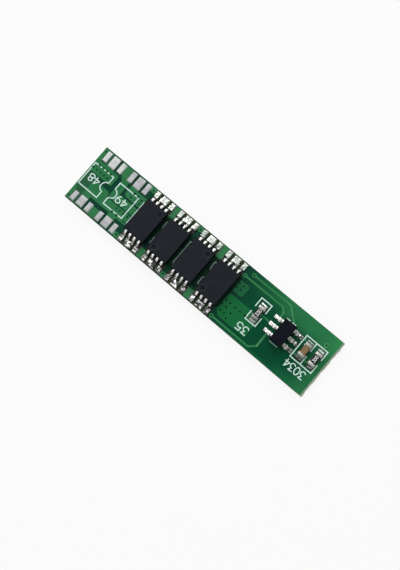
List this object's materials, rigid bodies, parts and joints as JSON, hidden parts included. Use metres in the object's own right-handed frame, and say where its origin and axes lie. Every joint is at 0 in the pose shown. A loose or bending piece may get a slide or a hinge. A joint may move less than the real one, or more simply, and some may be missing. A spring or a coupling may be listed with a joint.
{
  "type": "battery management board",
  "caption": "Narrow circuit board with rows of power-switch packages on wide pads, a small controller, chip resistors and a capacitor, and large solder pads on its underside.",
  "frame": {"origin": "centre of the underside, in the plane that the board rests on", "axes": "+X along the board from the switch end to the controller end, +Y across the board, +Z out of the component side"},
  "size_m": [0.035, 0.0074, 0.0022],
  "materials": {
    "glass_epoxy": "matt, pale yellow-green, rough along the snapped ends",
    "copper": "bare copper, covered by the mask or tin all over",
    "via_plating": "plated copper, dark inside the hole",
    "solder_mask": "green lacquer, semi-gloss, lighter over copper",
    "legend_ink": "pale mint-white ink, matt",
    "pad_tin": "hot-air levelled tin, satin, faintly uneven",
    "switch_moulding": "black epoxy, fine matt grain",
    "controller_moulding": "black epoxy, satin",
    "lead_metal": "tinned, bright satin",
    "solder": "bright, slightly lumpy",
    "resistor_ceramic": "white alumina, matt",
    "resistor_coat": "black glass coat, semi-gloss, with white digits",
    "cap_metal": "tinned, satin",
    "capacitor_ceramic": "brown ceramic, satin"
  },
  "bodies": {
    "root": {"laminate": "glass_epoxy", "top_copper": "copper", "bottom_copper": "copper", "via_barrels": "via_plating", "top_mask": "solder_mask", "bottom_mask": "solder_mask", "top_legend": "legend_ink", "empty_pad_tinning": "pad_tin", "output_pad_tinning": "pad_tin", "mosfet_1_body": "switch_moulding", "mosfet_1_leads": "lead_metal", "mosfet_1_solder": "solder", "mosfet_2_body": "switch_moulding", "mosfet_2_leads": "lead_metal", "mosfet_2_solder": "solder", "mosfet_3_body": "switch_moulding", "mosfet_3_leads": "lead_metal", "mosfet_3_solder": "solder", "mosfet_4_body": "switch_moulding", "mosfet_4_leads": "lead_metal", "mosfet_4_solder": "solder", "control_ic_body": "controller_moulding", "control_ic_leads": "lead_metal", "control_ic_solder": "solder", "sense_resistor_body": "resistor_ceramic", "sense_resistor_coat": "resistor_coat", "sense_resistor_ends": "cap_metal", "sense_resistor_solder": "solder", "supply_resistor_body": "resistor_ceramic", "supply_resistor_coat": "resistor_coat", "supply_resistor_ends": "cap_metal", "supply_resistor_solder": "solder", "capacitor_body": "capacitor_ceramic", "capacitor_ends": "cap_metal", "capacitor_solder": "solder"}
  },
  "joints": []
}
